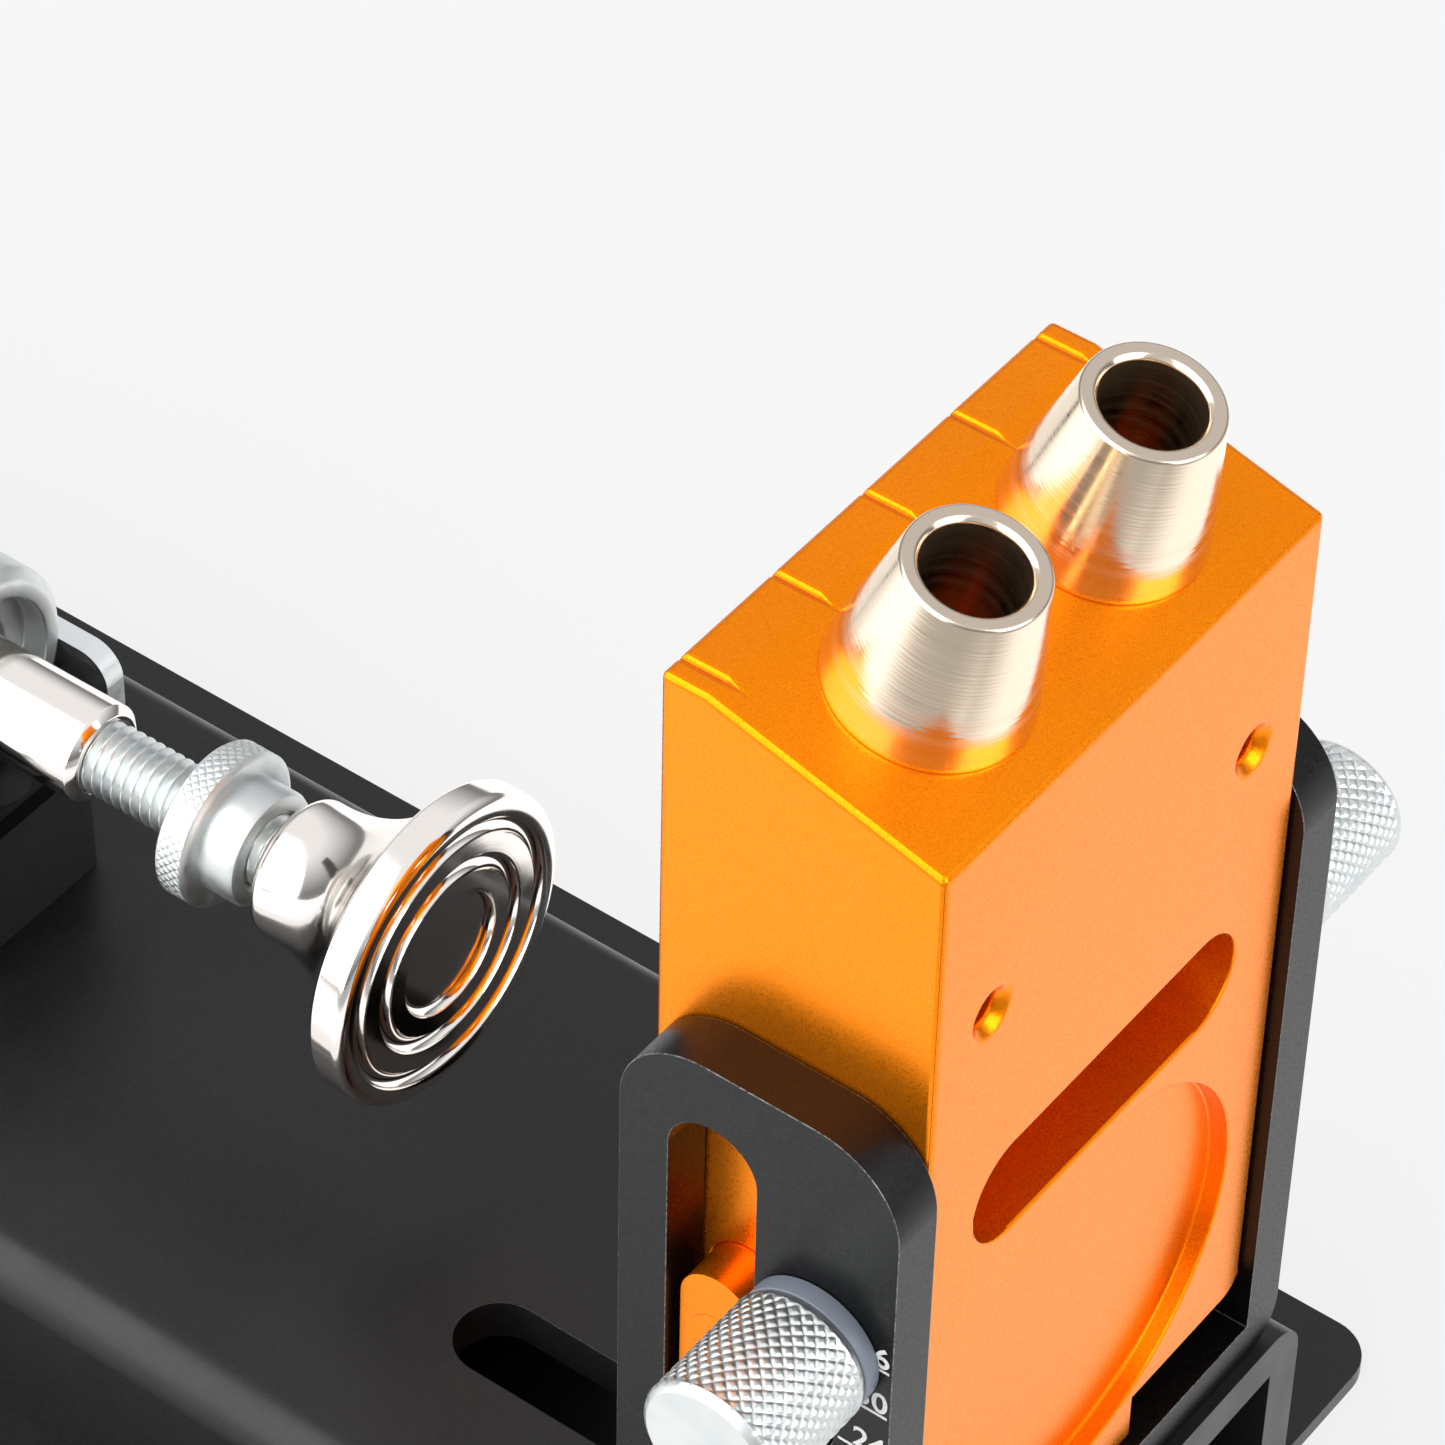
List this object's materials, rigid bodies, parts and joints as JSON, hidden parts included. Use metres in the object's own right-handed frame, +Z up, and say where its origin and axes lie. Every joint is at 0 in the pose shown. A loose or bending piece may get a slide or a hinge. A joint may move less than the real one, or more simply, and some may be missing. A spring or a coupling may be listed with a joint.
{
  "type": "pocket hole jig",
  "caption": "Bench jig for angled screw holes: a guide block with steel drill bushes slides up a slotted bracket, faced by a push-pull toggle clamp on a channel base.",
  "frame": {"origin": "middle of the base plate's underside", "axes": "+X from the clamp to the drill block, +Y to the far side, +Z up"},
  "size_m": [0.288, 0.11, 0.156],
  "materials": {
    "black_plate": "satin black",
    "black_alloy": "satin black anodised",
    "orange_alloy": "bead-blasted orange anodised",
    "nickel_steel": "turned, nickel plated",
    "chrome_steel": "polished",
    "zinc_steel": "bright zinc plated",
    "black_grip": "fine moulded grain"
  },
  "bodies": {
    "base": {"base_plate": "black_plate", "channel_rail": "black_alloy", "rail_screws": "zinc_steel", "clamp_riser": "black_alloy", "riser_bolts": "zinc_steel", "clamp_frame": "zinc_steel", "frame_screws": "zinc_steel", "guide_barrel": "zinc_steel", "handle_pivot": "zinc_steel"},
    "bracket": {"block_bracket": "black_alloy", "bracket_bolts": "zinc_steel", "bracket_washers": "zinc_steel"},
    "block": {"drill_block": "orange_alloy", "drill_bush_near": "nickel_steel", "drill_bush_far": "nickel_steel", "guide_key_near": "orange_alloy", "guide_key_far": "orange_alloy", "key_screws": "orange_alloy"},
    "thumb_near": {"thumb_screw_near": "zinc_steel", "thumb_washer_near": "zinc_steel"},
    "thumb_far": {"thumb_screw_far": "zinc_steel", "thumb_washer_far": "zinc_steel"},
    "handle": {"handle_lever": "zinc_steel", "handle_grip": "black_grip", "link_pin": "zinc_steel"},
    "links": {"toggle_link_near": "zinc_steel", "toggle_link_far": "zinc_steel"},
    "plunger": {"plunger": "chrome_steel", "plunger_pin": "zinc_steel"},
    "spindle": {"spindle": "zinc_steel"},
    "nut": {"lock_nut": "zinc_steel"},
    "pad": {"clamp_pad": "chrome_steel"}
  },
  "joints": [
    {"name": "bracket_slide", "type": "slide", "parent": "base", "child": "bracket", "axis": [1, 0, 0], "range_m": [-0.016, 0]},
    {"name": "block_slide", "type": "slide", "parent": "bracket", "child": "block", "axis": [0, 0, 1], "range_m": [0, 0.02]},
    {"name": "thumb_turn_near", "type": "hinge", "parent": "bracket", "child": "thumb_near", "pos_m": [0.1107, -0.0338, 0.08], "axis": [0, -1, 0], "continuous": true},
    {"name": "thumb_turn_far", "type": "hinge", "parent": "bracket", "child": "thumb_far", "pos_m": [0.1107, 0.0338, 0.08], "axis": [0, 1, 0], "continuous": true},
    {"name": "handle_swing", "type": "hinge", "parent": "base", "child": "handle", "pos_m": [-0.0901, 0, 0.03782], "axis": [0, 1, 0], "range_deg": [0, 64]},
    {"name": "link_swing", "type": "hinge", "parent": "handle", "child": "links", "pos_m": [-0.1007, 0, 0.05478], "axis": [0, 1, 0], "range_deg": [-65, 1]},
    {"name": "plunger_slide", "type": "slide", "parent": "base", "child": "plunger", "axis": [1, 0, 0], "range_m": [0, 0.0213]},
    {"name": "spindle_reach", "type": "slide", "parent": "plunger", "child": "spindle", "axis": [1, 0, 0], "range_m": [-0.008, 0.006]},
    {"name": "nut_turn", "type": "hinge", "parent": "spindle", "child": "nut", "pos_m": [0.0164, 0, 0.0563], "axis": [1, 0, 0], "continuous": true},
    {"name": "pad_turn", "type": "hinge", "parent": "spindle", "child": "pad", "pos_m": [0.027, 0, 0.0563], "axis": [1, 0, 0], "continuous": true}
  ],
  "couplings": [
    {"joint": "link_swing", "follows": "handle_swing", "ratio": -1},
    {"joint": "plunger_slide", "follows": "handle_swing", "m_per_rad": 0.018976}
  ]
}
